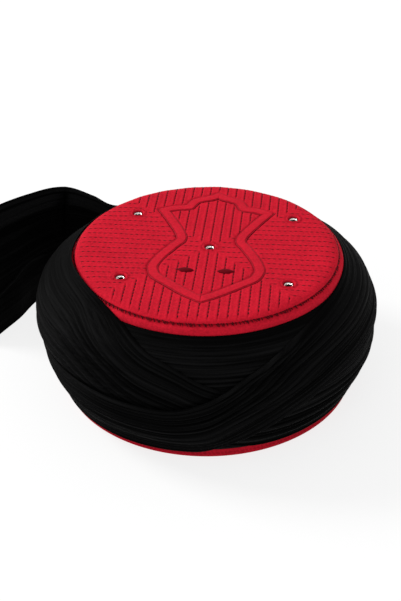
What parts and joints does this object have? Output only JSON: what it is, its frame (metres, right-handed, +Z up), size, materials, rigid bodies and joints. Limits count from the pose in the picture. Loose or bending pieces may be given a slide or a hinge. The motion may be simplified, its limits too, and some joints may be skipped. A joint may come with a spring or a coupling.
{
  "type": "turban",
  "caption": "Turban: a red quilted cap with metal eyelets and an outlined sandal emblem, wound with black pleated cloth whose free end trails behind on the left.",
  "frame": {"origin": "centre of the cap's rim circle, in the plane of the surface that the rim stands on", "axes": "+Z up through the crown, -Y towards the front where the emblem's foot points, +X to the side that is on the right when seen from the front"},
  "size_m": [0.2749, 0.2304, 0.097],
  "materials": {
    "cap_cloth": "matte",
    "emblem_cloth": "satin",
    "dark_thread": "satin",
    "winding_cloth": "matte",
    "eyelet_metal": "polished"
  },
  "bodies": {
    "root": {"cap_wall": "cap_cloth", "crown": "cap_cloth", "emblem_band": "emblem_cloth", "lens_stitch_left": "dark_thread", "lens_stitch_right": "dark_thread", "eyelet_middle": "eyelet_metal", "eyelet_front_left": "eyelet_metal", "eyelet_front_right": "eyelet_metal", "eyelet_rear_left": "eyelet_metal", "eyelet_rear_right": "eyelet_metal", "base_wrap": "winding_cloth", "left_pass": "winding_cloth", "right_pass": "winding_cloth", "tail": "winding_cloth"}
  },
  "joints": []
}
